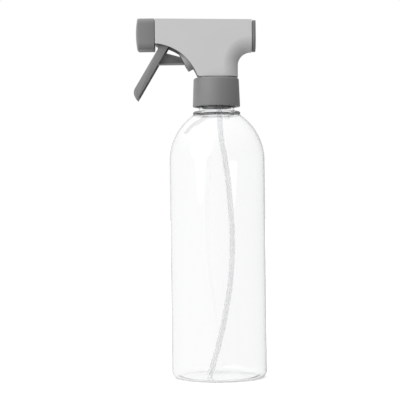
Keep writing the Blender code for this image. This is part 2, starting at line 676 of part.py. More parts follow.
def make_shroud(axis):
    """Flat sides run up to the back path, and a round bar along that path closes them."""
    arc_front = math.degrees(math.acos((SHROUD_FRONT - ARC_CENTRE[0]) / ARC_RADIUS))
    toe_height = SHROUD_BOTTOM + TOE_FILLET
    arc_low = math.degrees(math.asin((toe_height - ARC_CENTRE[1]) / (ARC_RADIUS + TOE_FILLET)))
    toe = (ARC_CENTRE[0] + (ARC_RADIUS + TOE_FILLET) * math.cos(math.radians(arc_low)), toe_height)
    outline = [(SHROUD_FRONT, SHROUD_TOP_FRONT), (SHROUD_REAR, SHROUD_TOP_REAR)]
    outline += back_path(SHROUD_BOTTOM, SHROUD_REAR)[::-1]
    outline += arc(toe, TOE_FILLET, 270, 180 + arc_low, 4)[:-1]
    outline += arc(ARC_CENTRE, ARC_RADIUS, arc_low, arc_front, 12)
    shroud = prism("shroud", outline, SHROUD_HALF_WIDTH, axis)
    back = round_back("shroud_back", SHROUD_HALF_WIDTH, SHROUD_BOTTOM, SHROUD_REAR, axis)
    inner_half = SHROUD_HALF_WIDTH - SHROUD_WALL
    inner_front = SHROUD_FRONT + SHROUD_WALL
    beyond = SHROUD_REAR + 0.0040
    below = SHROUD_BOTTOM - 0.0040
    inside = [(inner_front, SHROUD_TOP_FRONT - SHROUD_WALL), (beyond, SHROUD_TOP_REAR - SHROUD_WALL)]
    inside += back_path(below, beyond)[::-1] + [(inner_front, below)]
    hollow = prism("shroud_hollow", inside, inner_half, axis)
    hollow_back = round_back("hollow_back", inner_half + HOLLOW_LAP, below, beyond, axis)
    nose_hole = rod("nose_hole", BARREL_RADIUS + 0.0005, -0.0030, 0.0030, axis,
                    location=(SHROUD_FRONT, 0, BARREL_HEIGHT), rotation=(0, -math.pi / 2, 0))
    join(shroud, back)
    cut(shroud, hollow, hollow_back, nose_hole)
    return finish(shroud, material("shroud_plastic", (0.55, 0.55, 0.55), 0.38))


def make_rear_cap(axis):
    """A round-bottomed plate with a hollow spigot that fits the shroud's open rear end."""
    def plate(name, inset, corner, front, rear):
        half = SHROUD_HALF_WIDTH - inset
        top = SHROUD_TOP_REAR - inset
        bottom = SHROUD_UNDERSIDE + inset
        outline = rounded([(-top, half, corner), (-bottom, half, half - 0.0004),
                           (-bottom, -half, half - 0.0004), (-top, -half, corner)], 7)
        return prism(name, outline, (rear - front) / 2, axis, location=((front + rear) / 2, 0, 0),
                     rotation=(0, math.pi / 2, 0))

    cover = plate("rear_cap", 0.0004, 0.0020, SHROUD_REAR + GAP, REAR_CAP_BACK)
    spigot = plate("rear_spigot", SHROUD_WALL + 0.0004, 0.0010, 0.0235, 0.0270)
    hollow = plate("spigot_hollow", SHROUD_WALL + 0.0018, 0.0008, 0.0220, 0.0268)
    join(cover, spigot)
    cut(cover, hollow)
    return finish(cover, material("rear_cap_plastic", (0.17, 0.17, 0.17), 0.42))


def make_trigger(pivot_frame):
    """A channel open at the back, with two cheeks on the trunnions and an arm that enters the pump."""
    low, high = Vector(FRONT_EDGE_LOW), Vector(FRONT_EDGE_HIGH)
    along = (high - low).normalized()
    inward = Vector((along.y, -along.x))
    origin = Vector((PIVOT.x, PIVOT.z))

    def shape(name, corners, half_width, count=5):
        outline = rounded(corners, count) if len(corners[0]) == 3 else corners
        moved = [(x - origin.x, y - origin.y) for x, y in outline]
        return prism(name, moved, half_width, pivot_frame)

    trigger = shape("trigger", [
        (-0.0421, 0.2375, 0.0005), (*high, 0.0015), (*low, TIP_RADIUS), (-0.0564, 0.1988, 0),
        (-0.0549, 0.2012, 0.0006), (-0.0341, 0.2363, 0.0020), (-0.0292, 0.2420, 0.0030),
        (-0.0292, 0.2478, 0.0035), (-0.0368, 0.2478, 0.0035), (-0.0398, 0.2392, 0.0006),
    ], TRIGGER_HALF_WIDTH)
    plate = low + inward * TRIGGER_FRONT_PLATE
    foot = plate + along * TRIGGER_FRONT_PLATE
    top = plate + along * 0.0500
    channel = shape("trigger_channel", [
        (*foot, TIP_RADIUS - TRIGGER_FRONT_PLATE), (*top, 0), (*(top + inward * 0.0200), 0),
        (*(foot + inward * 0.0200), 0),
    ], TRIGGER_HALF_WIDTH - TRIGGER_WALL)
    fork = shape("trigger_fork", [(-0.0480, 0.2383), (-0.0200, 0.2383), (-0.0200, 0.2520), (-0.0480, 0.2520)],
                 TRIGGER_HALF_WIDTH - TRIGGER_WALL)
    cut(trigger, channel, fork)
    nose_x = PUMP_MOUTH[0] + ARM_NOSE * PUMP_AXIS.x
    nose_z = PUMP_MOUTH[1] + ARM_NOSE * PUMP_AXIS.z
    tip = (nose_z - ARM_BOTTOM) / -PUMP_DOWN.z
    crown = -0.0024
    arm = shape("pusher_arm", [
        (-0.0405, 0.2339, 0), (nose_x + crown * PUMP_DOWN.x, nose_z + crown * PUMP_DOWN.z, 0.0018),
        (nose_x + tip * PUMP_DOWN.x, ARM_BOTTOM, 0.0016), (-0.0462, ARM_BOTTOM, 0),
    ], ARM_HALF_WIDTH)
    flange = shape("arm_flange", [
        (-0.0440, ARM_BOTTOM), (-0.0230, ARM_BOTTOM), (-0.0235, ARM_BOTTOM + 0.0010),
        (-0.0440, ARM_BOTTOM + 0.0010),
    ], ARM_FLANGE_HALF_WIDTH)
    join(trigger, arm, flange)
    hole = rod("trunnion_hole", TRUNNION_RADIUS + GAP, -0.0100, 0.0100, pivot_frame, rotation=SIDE_ON)
    cut(trigger, hole)
    return finish(trigger, material("trigger_plastic", (0.24, 0.24, 0.24), 0.40))


clear_scene()
parts = collection("hand_mister")
cutters = collection("cutters")
design = empty("bottle_axis", location=(AXIS_X, 0, 0))
pump_frame = empty("pump_axis", (PUMP_MOUTH[0], 0, PUMP_MOUTH[1]), (0, math.pi / 2 - PUMP_ANGLE, 0), design)
barrel_frame = empty("barrel_axis", (-BARREL_FRONT, 0, BARREL_HEIGHT), (0, -math.pi / 2, 0), design)
trigger_frame = empty("trigger_pivot", PIVOT, (0, 0, 0), design)

make_bottle(design)
make_collar(design)
make_gasket(design)
make_pump_body(design, pump_frame, barrel_frame)
make_inlet(design)
make_dip_tube(design)
make_pump_train(pump_frame)
make_outlet(barrel_frame)
make_nozzle(barrel_frame)
make_shroud(design)
make_rear_cap(design)
make_trigger(trigger_frame)
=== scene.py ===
"""Looks of the hand mister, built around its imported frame.

Metres, +Z up. Shapes are drawn about the bottle's own axis, as the frame is, with the nozzle
pointing along -X, and each piece is then placed by its object's location and rotation.
"""
import json
import math

import bmesh
import bpy
from mathutils import Matrix, Vector


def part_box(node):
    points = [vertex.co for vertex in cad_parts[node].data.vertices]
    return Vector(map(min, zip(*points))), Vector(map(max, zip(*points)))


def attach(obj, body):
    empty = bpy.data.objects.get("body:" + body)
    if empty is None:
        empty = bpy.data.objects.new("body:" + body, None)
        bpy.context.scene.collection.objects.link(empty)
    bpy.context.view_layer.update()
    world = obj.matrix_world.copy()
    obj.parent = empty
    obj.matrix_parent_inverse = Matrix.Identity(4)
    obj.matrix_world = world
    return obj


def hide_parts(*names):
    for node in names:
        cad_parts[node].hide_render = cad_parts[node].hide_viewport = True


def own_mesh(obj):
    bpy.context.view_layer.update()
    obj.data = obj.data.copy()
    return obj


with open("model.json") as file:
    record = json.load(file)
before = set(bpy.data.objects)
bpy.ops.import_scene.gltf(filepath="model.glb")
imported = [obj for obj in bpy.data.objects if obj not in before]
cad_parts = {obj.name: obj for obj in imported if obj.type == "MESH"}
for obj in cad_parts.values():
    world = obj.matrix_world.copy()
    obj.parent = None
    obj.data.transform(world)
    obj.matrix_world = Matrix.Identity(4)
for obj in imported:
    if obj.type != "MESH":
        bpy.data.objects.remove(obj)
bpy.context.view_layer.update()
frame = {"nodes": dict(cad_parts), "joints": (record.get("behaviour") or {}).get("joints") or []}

FACE_STEPS = 192                # sides of the large round pieces
SMALL_STEPS = 96                # sides of the small round pieces
SMOOTH_ANGLE = math.radians(32)

# Places that the frame gives
BOTTLE_LOW, BOTTLE_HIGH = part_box("bottle")
AXIS = Vector(((BOTTLE_LOW.x + BOTTLE_HIGH.x) / 2, 0, 0))
BODY_RADIUS = (BOTTLE_HIGH.x - BOTTLE_LOW.x) / 2
MOUTH_TOP = BOTTLE_HIGH.z
COLLAR_LOW, COLLAR_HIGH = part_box("closure_collar")
SHROUD_LOW, SHROUD_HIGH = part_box("shroud")
REAR_LOW, REAR_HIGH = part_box("rear_cap")
CAP_LOW, CAP_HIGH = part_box("nozzle_cap")
INSERT_LOW, INSERT_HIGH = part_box("orifice_insert")
BARREL = Vector((AXIS.x - 0.0007, 0, (CAP_LOW.z + CAP_HIGH.z) / 2))
TRIGGER_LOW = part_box("trigger")[0]
JOINTS = {joint["name"]: joint for joint in frame["joints"]}
PIVOT = Vector(JOINTS["trigger_squeeze"]["pos_m"]) - AXIS

# Bottle, by radius and height
WALL = 0.0008
FLOOR = 0.0013
PUSH_UP = 0.0020
FOOT_INNER = 0.0275
FOOT_OUTER = 0.0294
SHOULDER_START = 0.1550
SHOULDER_RADIUS = 0.0400
LEDGE_RADIUS = 0.0170
LEDGE_BOTTOM = MOUTH_TOP - 0.0203
LEDGE_TOP = MOUTH_TOP - 0.0180
NECK_WEB = LEDGE_BOTTOM - 0.0003
NECK_RADIUS = 0.0127
NECK_BORE = 0.01085
THREAD_HEIGHT = 0.0010
THREAD_PITCH = 0.004233
THREAD_START = 0.1998
THREAD_TURNS = 1.5

# Collar
COLLAR_BORE = 0.0141
COLLAR_DISC = 0.0021
COLLAR_HOLE = 0.0098
COLLAR_TOP_RADIUS = 0.0163

# Shroud
SHROUD_WALL = 0.0015
UNDERSIDE = 0.2326
ARC_CENTRE = (-0.0464, 0.2037)
ARC_RADIUS = 0.0351
STEM_ROUND_X = 0.0047
STEM_FILLET = 0.0094
TOE_FILLET = 0.0030
NOSE_HOLE = 0.0055

# Dip tube, by the route of its centreline
TUBE_RADIUS = 0.00205
TUBE_BORE = 0.00135
TUBE_ROUTE = [
    (0.0020, 0.0000, 0.2134), (0.0020, 0.0000, 0.2040), (0.0021, 0.0000, 0.1900),
    (0.0033, -0.0002, 0.1702), (0.0058, -0.0006, 0.1554), (0.0084, -0.0017, 0.1330),
    (0.0102, -0.0042, 0.0990), (0.0088, -0.0072, 0.0712), (0.0067, -0.0088, 0.0577),
    (0.0029, -0.0118, 0.0375), (-0.0025, -0.0151, 0.0172), (-0.0071, -0.0176, 0.0034),
]


# ---------------------------------------------------------------- shapes

def arc(centre, radius, start, end, count):
    """Points of a circle between two angles in degrees, both ends included."""
    points = []
    for index in range(count + 1):
        angle = math.radians(start + (end - start) * index / count)
        points.append((centre[0] + radius * math.cos(angle), centre[1] + radius * math.sin(angle)))
    return points


def rounded(corners, count=8):
    """An outline through (x, y, radius) corners, each corner filleted by its radius."""
    outline = []
    for index, (x, y, radius) in enumerate(corners):
        corner = Vector((x, y))
        if radius == 0:
            outline.append((x, y))
            continue
        back = (Vector(corners[index - 1][:2]) - corner).normalized()
        ahead = (Vector(corners[(index + 1) % len(corners)][:2]) - corner).normalized()
        half = back.angle(ahead) / 2
        centre = corner + (back + ahead).normalized() * radius / math.sin(half)
        first = corner + back * radius / math.tan(half) - centre
        last = corner + ahead * radius / math.tan(half) - centre
        start = math.degrees(math.atan2(first.y, first.x))
        turn = math.degrees(math.atan2(last.y, last.x)) - start
        turn = (turn + 180) % 360 - 180
        outline += arc(centre, radius, start, start + turn, count)
    return outline


def new_object(name, shape, location=AXIS, rotation=(0, 0, 0)):
    """Turns a bmesh into a smooth-shaded object."""
    mesh = bpy.data.meshes.new(name)
    shape.to_mesh(mesh)
    shape.free()
    mesh.shade_smooth()
    mesh.set_sharp_from_angle(angle=SMOOTH_ANGLE)
    made = bpy.data.objects.new(name, mesh)
    made.location = location
    made.rotation_euler = rotation
    bpy.context.scene.collection.objects.link(made)
    return made


def skin(name, rows, closed=False, capped=False, location=AXIS, rotation=(0, 0, 0)):
    """A surface through rows of points. A row is a loop, or one point where the surface closes."""
    shape = bmesh.new()
    loops = [[shape.verts.new(point) for point in row] for row in rows]
    pairs = list(zip(loops, loops[1:]))
    if closed:
        pairs.append((loops[-1], loops[0]))
    for near, far in pairs:
        count = max(len(near), len(far))
        for index in range(count):
            after = (index + 1) % count
            corners = [near[index % len(near)], near[after % len(near)],
                       far[after % len(far)], far[index % len(far)]]
            shape.faces.new(dict.fromkeys(corners))
    if capped:
        shape.faces.new(loops[0])
        shape.faces.new(loops[-1])
    bmesh.ops.recalc_face_normals(shape, faces=shape.faces)
    return new_object(name, shape, location, rotation)


def circle(radius, height, steps, relief=None):
    """One row of a turned piece. relief gives what the radius gains at an angle and height."""
    if radius == 0:
        return [Vector((0, 0, height))]
    row = []
    for index in range(steps):
        angle = math.tau * index / steps
        reach = radius + (relief(angle, height) if relief else 0)
        row.append(Vector((reach * math.cos(angle), reach * math.sin(angle), height)))
    return row


def turned(name, profile, closed=False, steps=SMALL_STEPS, location=AXIS, rotation=(0, 0, 0)):
    rows = [circle(radius, height, steps) for radius, height in profile]
    return skin(name, rows, closed=closed, location=location, rotation=rotation)


def prism(name, outline, half_depth):
    """An upright outline in x and z, given a thickness across y."""
    rows = [[Vector((x, side * half_depth, z)) for x, z in outline] for side in (-1, 1)]
    return skin(name, rows, capped=True)


def apply_modifiers(obj):
    """Replaces an object's mesh by what its modifiers make of it."""
    bpy.context.view_layer.update()
    graph = bpy.context.evaluated_depsgraph_get()
    mesh = bpy.data.meshes.new_from_object(obj.evaluated_get(graph))
    obj.modifiers.clear()
    obj.data = mesh
    return obj


def carve(target, tool, operation="DIFFERENCE"):
    """Cuts the tool away from the target, or joins it, and removes the tool."""
    step = target.modifiers.new("Carve", "BOOLEAN")
    step.operation = operation
    step.object = tool
    apply_modifiers(target)
    bpy.data.objects.remove(tool, do_unlink=True)
    return target


def soften(obj, width, segments=3, angle=32):
    """Rounds the sharp edges and lets the large faces set the shading."""
    bevel = obj.modifiers.new("Edges", "BEVEL")
    bevel.width = width
    bevel.segments = segments
    bevel.limit_method = "ANGLE"
    bevel.angle_limit = math.radians(angle)
    bevel.use_clamp_overlap = True
    bevel.miter_outer = "MITER_ARC"
    apply_modifiers(obj)
    obj.data.shade_smooth()
    normals = obj.modifiers.new("Shading", "WEIGHTED_NORMAL")
    normals.weight = 80
    return obj


def helix_relief(start, turns, height):
    """The height of a right-hand thread over its cylinder, faded out at both ends."""
    crest, root, fade = 0.0005, 0.0011, math.radians(25)

    def relief(angle, z):
        best = 0
        for lap in range(math.ceil(turns)):
            travelled = angle + math.tau * lap
            if travelled > math.tau * turns:
                continue
            away = abs(z - start - THREAD_PITCH * travelled / math.tau)
            slope = min(1, max(0, (root - away) / (root - crest)))
            ends = min(1, travelled / fade, (math.tau * turns - travelled) / fade)
            best = max(best, slope * slope * (3 - 2 * slope) * ends)
        return best * height
    return relief


def smooth_route(points, count):
    """Points along a Catmull-Rom curve through the route."""
    route = [Vector(point) for point in points]
    route = [2 * route[0] - route[1]] + route + [2 * route[-1] - route[-2]]
    spans = len(route) - 3
    smooth = []
    for index in range(count + 1):
        along = min(index * spans / count, spans - 1e-9)
        span = int(along)
        t = along - span
        a, b, c, d = route[span:span + 4]
        smooth.append(b + t * (c - a) / 2 + t * t * (a - 2.5 * b + 2 * c - d / 2)
                      + t * t * t * (1.5 * (b - c) + (d - a) / 2))
    return smooth


# ---------------------------------------------------------------- materials

def blank(name):
    """A material with its Principled shader, its nodes and its object coordinates."""
    made = bpy.data.materials.new(name)
    made.use_nodes = True
    nodes = made.node_tree.nodes
    return made, nodes["Principled BSDF"], nodes.new("ShaderNodeTexCoord").outputs["Object"]


def noise(made, where, scale, detail=2.0, roughness=0.5):
    node = made.node_tree.nodes.new("ShaderNodeTexNoise")
    node.inputs["Scale"].default_value = scale
    node.inputs["Detail"].default_value = detail
    node.inputs["Roughness"].default_value = roughness
    made.node_tree.links.new(where, node.inputs["Vector"])
    return node.outputs["Fac"]


def spread(made, value, low, high, soft=(0.3, 0.7)):
    """Maps a noise value to a range."""
    node = made.node_tree.nodes.new("ShaderNodeMapRange")
    node.inputs["From Min"].default_value = soft[0]
    node.inputs["From Max"].default_value = soft[1]
    node.inputs["To Min"].default_value = low
    node.inputs["To Max"].default_value = high
    made.node_tree.links.new(value, node.inputs["Value"])
    return node.outputs["Result"]


def two_tone(made, value, dark, light):
    """A colour between two tones."""
    node = made.node_tree.nodes.new("ShaderNodeMix")
    node.data_type = "RGBA"
    node.inputs["A"].default_value = (*dark, 1)
    node.inputs["B"].default_value = (*light, 1)
    made.node_tree.links.new(value, node.inputs["Factor"])
    return node.outputs["Result"]


def bump(made, value, depth, under=None):
    node = made.node_tree.nodes.new("ShaderNodeBump")
    node.inputs["Strength"].default_value = 1.0
    node.inputs["Distance"].default_value = depth
    made.node_tree.links.new(value, node.inputs["Height"])
    if under:
        made.node_tree.links.new(under, node.inputs["Normal"])
    return node.outputs["Normal"]


def plastic(name, tone, roughness, grain=0.000004, sheen=0.5):
    """Moulded plastic: faint flow marks, an eroded mould's fine grain, and rubbed gloss."""
    made, shader, where = blank(name)
    link = made.node_tree.links.new
    flow = noise(made, where, 55, detail=3)
    link(two_tone(made, flow, [t * 0.965 for t in tone], [t * 1.035 for t in tone]),
         shader.inputs["Base Color"])
    rub = noise(made, where, 130, detail=4)
    link(spread(made, rub, roughness - 0.05, roughness + 0.05), shader.inputs["Roughness"])
    fine = noise(made, where, 5200, detail=1)
    soft = noise(made, where, 260, detail=1)
    relief = bump(made, soft, grain * 3)
    link(bump(made, fine, grain, under=relief), shader.inputs["Normal"])
    shader.inputs["Specular IOR Level"].default_value = sheen
    return made


def clear_pet():
    """Blown clear plastic: slight ripples from blowing, and a grey tint through its thickness."""
    made, shader, where = blank("clear_pet")
    link = made.node_tree.links.new
    haze = noise(made, where, 90, detail=2)
    link(spread(made, haze, 0.0, 0.020), shader.inputs["Roughness"])
    link(two_tone(made, haze, (0.996, 0.997, 0.998), (1.0, 1.0, 1.0)), shader.inputs["Base Color"])
    ripple = noise(made, where, 38, detail=1)
    link(bump(made, ripple, 0.00003), shader.inputs["Normal"])
    shader.inputs["Transmission Weight"].default_value = 1.0
    shader.inputs["IOR"].default_value = 1.54
    absorb = made.node_tree.nodes.new("ShaderNodeVolumeAbsorption")
    absorb.inputs["Color"].default_value = (0.80, 0.83, 0.84, 1)
    absorb.inputs["Density"].default_value = 75.0
    output = made.node_tree.nodes["Material Output"]
    link(absorb.outputs["Volume"], output.inputs["Volume"])
    return made


def milky_tube():
    """Translucent extruded tube with fine draw lines along it."""
    made, shader, where = blank("milky_tube")
    link = made.node_tree.links.new
    cloud = noise(made, where, 300, detail=2)
    link(two_tone(made, cloud, (0.922, 0.927, 0.930), (0.930, 0.935, 0.937)), shader.inputs["Base Color"])
    link(spread(made, cloud, 0.02, 0.035), shader.inputs["Roughness"])
    stretch = made.node_tree.nodes.new("ShaderNodeMapping")
    stretch.inputs["Scale"].default_value = (1, 1, 0.04)
    link(where, stretch.inputs["Vector"])
    lines = noise(made, stretch.outputs["Vector"], 2600, detail=1)
    link(bump(made, lines, 0.0000002), shader.inputs["Normal"])
    shader.inputs["Transmission Weight"].default_value = 0.95
    shader.inputs["IOR"].default_value = 1.50
    return made


def rubber(name, tone):
    made, shader, where = blank(name)
    link = made.node_tree.links.new
    bloom = noise(made, where, 420, detail=4)
    link(two_tone(made, bloom, tone, [t * 1.6 for t in tone]), shader.inputs["Base Color"])
    link(spread(made, bloom, 0.55, 0.75), shader.inputs["Roughness"])
    link(bump(made, noise(made, where, 3800), 0.000008), shader.inputs["Normal"])
    return made


def foam(name, tone):
    made, shader, where = blank(name)
    link = made.node_tree.links.new
    cells = made.node_tree.nodes.new("ShaderNodeTexVoronoi")
    cells.inputs["Scale"].default_value = 3600
    link(where, cells.inputs["Vector"])
    link(two_tone(made, cells.outputs["Distance"], [t * 0.82 for t in tone], tone),
         shader.inputs["Base Color"])
    link(bump(made, cells.outputs["Distance"], 0.00004), shader.inputs["Normal"])
    link(spread(made, noise(made, where, 900), 0.75, 0.95), shader.inputs["Roughness"])
    return made


def steel(name, tone, roughness):
    made, shader, where = blank(name)
    link = made.node_tree.links.new
    drawn = noise(made, where, 2400, detail=3)
    link(two_tone(made, drawn, [t * 0.88 for t in tone], tone), shader.inputs["Base Color"])
    link(spread(made, drawn, roughness - 0.06, roughness + 0.08), shader.inputs["Roughness"])
    link(bump(made, drawn, 0.000003), shader.inputs["Normal"])
    shader.inputs["Metallic"].default_value = 1.0
    return made


def dress(obj, surface, body=None, nodes=()):
    """Gives a piece its material, its body and the nodes that it stands for."""
    obj.data.materials.clear()
    obj.data.materials.append(surface)
    if body:
        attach(obj, body)
    if nodes:
        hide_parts(*nodes)
    return obj


# ---------------------------------------------------------------- pieces

def make_bottle():
    """One closed shell, inside and out, with the neck's thread raised on its own surface."""
    centre = (BODY_RADIUS - SHOULDER_RADIUS, SHOULDER_START)
    foot = (FOOT_OUTER, BODY_RADIUS - FOOT_OUTER)
    rise = math.degrees(math.asin((LEDGE_BOTTOM - 0.0004 - SHOULDER_START) / SHOULDER_RADIUS))
    inner = SHOULDER_RADIUS - WALL
    inner_rise = math.degrees(math.asin((NECK_WEB - WALL - SHOULDER_START) / inner))
    base = [FOOT_INNER * math.sin(math.radians(angle)) for angle in range(0, 90, 6)]
    dome = [(radius, PUSH_UP * (1 - (radius / FOOT_INNER) ** 2)) for radius in base]
    profile = [(radius, height + FLOOR) for radius, height in dome]
    profile += arc(foot, foot[1] - WALL, -84, 0, 14)
    profile += arc(centre, inner, 0, inner_rise, 48)
    profile += arc((NECK_BORE + WALL, NECK_WEB + WALL), WALL, 270, 180, 6)
    profile += arc((NECK_BORE + 0.0005, MOUTH_TOP - 0.0005), 0.0005, 180, 90, 4)
    profile += arc((NECK_RADIUS - 0.0005, MOUTH_TOP - 0.0005), 0.0005, 90, 0, 4)
    relief = helix_relief(THREAD_START, THREAD_TURNS, THREAD_HEIGHT)
    rows = [circle(radius, height, FACE_STEPS) for radius, height in profile]
    neck_rows = 62
    for index in range(1, neck_rows):
        height = MOUTH_TOP - 0.0005 + (LEDGE_TOP + 0.0010 - MOUTH_TOP) * index / neck_rows
        rows.append(circle(NECK_RADIUS, height, FACE_STEPS, relief))
    edge, bead = 0.0005, 0.0010
    outside = arc((NECK_RADIUS + edge, LEDGE_TOP + edge), edge, 180, 270, 4)
    outside += arc((LEDGE_RADIUS - bead, LEDGE_TOP - bead), bead, 90, 0, 8)
    outside += arc((LEDGE_RADIUS - bead, LEDGE_BOTTOM + bead), bead, 0, -80, 8)
    outside += arc(centre, SHOULDER_RADIUS, rise, 0, 56)
    outside += arc(foot, foot[1], 0, -90, 18)
    outside += [(FOOT_INNER, 0)] + dome[::-1]
    rows += [circle(radius, height, FACE_STEPS) for radius, height in outside]
    dress(skin("bottle_shell", rows), clear_pet(), "bottle", ["bottle"])


def make_collar(surface):
    """The closure: a smooth tapered skirt, rounded at the top, threaded inside."""
    foot_radius = (COLLAR_HIGH.x - COLLAR_LOW.x) / 2
    low, high = COLLAR_LOW.z, COLLAR_HIGH.z
    edge = 0.0013
    profile = [(COLLAR_HOLE, high - 0.0003), (COLLAR_HOLE + 0.0003, high)]
    profile += arc((COLLAR_TOP_RADIUS - edge, high - edge), edge, 90, 3, 8)
    profile += arc((foot_radius - 0.0004, low + 0.0004), 0.0004, 0, -90, 4)
    profile += [(COLLAR_BORE + 0.0004, low), (COLLAR_BORE, low + 0.0004)]
    rows = [circle(radius, height, FACE_STEPS) for radius, height in profile]
    relief = helix_relief(THREAD_START - THREAD_PITCH / 2, 1.2, -0.00095)
    top = high - COLLAR_DISC
    inner_rows = 56
    for index in range(1, inner_rows):
        height = low + 0.0004 + (top - low - 0.0004) * index / inner_rows
        rows.append(circle(COLLAR_BORE, height, FACE_STEPS, relief))
    rows += [circle(COLLAR_BORE, top, FACE_STEPS), circle(COLLAR_HOLE, top, FACE_STEPS)]
    dress(skin("collar_shell", rows, closed=True), surface, "closure", ["closure_collar"])


def back_path(bottom, rear, count=28):
    """Points up the stem, round the bend and out to the rear, each with its way outwards."""
    half = SHROUD_HIGH.y
    bend_radius = STEM_FILLET + half
    bend = Vector((STEM_ROUND_X + bend_radius, UNDERSIDE + half - bend_radius))
    path = [(Vector((STEM_ROUND_X, bottom)), Vector((1, 0)))]
    for index in range(count + 1):
        angle = math.radians(180 - 90 * index / count)
        way = Vector((math.cos(angle), math.sin(angle)))
        path.append((bend + bend_radius * way, -way))
    path.append((Vector((rear, bend.y + bend_radius)), Vector((0, -1))))
    return path


def shroud_sheet(half, rear, front, top_front, top_rear, bottom):
    """The shroud's outer skin: flat cheeks, top and front, and a round back."""
    shape = bmesh.new()
    sides = 36
    grid = []
    for point, way in back_path(bottom, rear):
        row = []
        for index in range(sides + 1):
            angle = math.pi * (index / sides - 0.5)
            reach = point + way * half * math.cos(angle)
            row.append(shape.verts.new((reach.x, half * math.sin(angle), reach.y)))
        grid.append(row)
    for near, far in zip(grid, grid[1:]):
        for index in range(sides):
            shape.faces.new((near[index], near[index + 1], far[index + 1], far[index]))
    arc_front = math.degrees(math.acos((front - ARC_CENTRE[0]) / ARC_RADIUS))
    toe_height, reach = bottom + TOE_FILLET, ARC_RADIUS + TOE_FILLET
    arc_low = math.degrees(math.asin((toe_height - ARC_CENTRE[1]) / reach))
    toe = (ARC_CENTRE[0] + reach * math.cos(math.radians(arc_low)), toe_height)
    curve = arc(ARC_CENTRE, ARC_RADIUS, arc_front, arc_low, 40)
    curve += arc(toe, TOE_FILLET, 180 + arc_low, 270, 8)[1:]
    edge = [(rear, top_rear), (front, top_front)] + curve
    cheeks = []
    for side, column in ((-half, 0), (half, sides)):
        rim = [shape.verts.new((x, side, z)) for x, z in edge]
        shape.faces.new([row[column] for row in grid] + rim)
        cheeks.append(rim)
    left, right = cheeks
    shape.faces.new((left[0], left[1], right[1], right[0]))
    shape.faces.new((left[1], left[2], right[2], right[1]))
    bmesh.ops.recalc_face_normals(shape, faces=shape.faces)
    shape.faces.ensure_lookup_table()
    if shape.faces[-2].normal.z < 0:
        bmesh.ops.reverse_faces(shape, faces=shape.faces)
    return new_object("shroud_shell", shape)


def make_shroud(surface):
    front, rear = SHROUD_LOW.x - AXIS.x, SHROUD_HIGH.x - AXIS.x
    fall = 0.00125
    shell = shroud_sheet(SHROUD_HIGH.y, rear, front, SHROUD_HIGH.z, SHROUD_HIGH.z - fall, SHROUD_LOW.z)
    wall = shell.modifiers.new("Wall", "SOLIDIFY")
    wall.thickness = SHROUD_WALL
    wall.offset = -1
    wall.use_even_offset = True
    apply_modifiers(shell)
    hole = turned("nose_hole", [(0, -0.004), (NOSE_HOLE, -0.004), (NOSE_HOLE, 0.004), (0, 0.004)],
                  location=(SHROUD_LOW.x, 0, BARREL.z), rotation=(0, math.pi / 2, 0))
    carve(shell, hole)
    soften(shell, 0.00055, segments=3)
    dress(shell, surface, "head", ["shroud"])


def make_rear_cap(surface):
    """A round-bottomed cover with a spigot that fits the shroud's open end."""
    half = REAR_HIGH.y

    def plate(name, inset, corner, front, rear):
        reach = half - inset
        top, low = REAR_HIGH.z - inset, REAR_LOW.z + inset
        outline = rounded([(reach, top, corner), (-reach, top, corner),
                           (-reach, low, reach - 0.0001), (reach, low, reach - 0.0001)], 16)
        rows = [[Vector((x, y, z)) for y, z in outline] for x in (front, rear)]
        return skin(name, rows, capped=True)

    front, rear = SHROUD_HIGH.x - AXIS.x + 0.0003, REAR_HIGH.x - AXIS.x
    cover = plate("rear_cover", 0, 0.0020, front, rear)
    soften(cover, 0.0005, segments=3)
    apply_modifiers(cover)
    carve(cover, plate("spigot", 0.0015, 0.0010, REAR_LOW.x - AXIS.x, rear - 0.0015), "UNION")
    carve(cover, plate("spigot_hollow", 0.0029, 0.0008, REAR_LOW.x - AXIS.x - 0.001, rear - 0.0018))
    cover.data.shade_smooth()
    cover.data.set_sharp_from_angle(angle=SMOOTH_ANGLE)
    dress(cover, surface, "head", ["rear_cap"])


def squircle(half, corner, steps):
    """How far a rounded square reaches at each angle."""
    flat = half - corner
    reaches = []
    for index in range(steps):
        angle = math.tau * index / steps
        c, s = abs(math.cos(angle)), abs(math.sin(angle))
        reach = half / max(c, s)
        if min(c, s) * reach > flat:
            middle = flat * (c + s)
            reach = middle + math.sqrt(middle * middle - 2 * flat * flat + corner * corner)
        reaches.append(reach)
    return reaches


def polar_row(reaches, heights):
    steps = len(reaches)
    row = []
    for index, (reach, height) in enumerate(zip(reaches, heights)):
        angle = math.tau * index / steps
        row.append(Vector((reach * math.cos(angle), reach * math.sin(angle), height)))
    return row


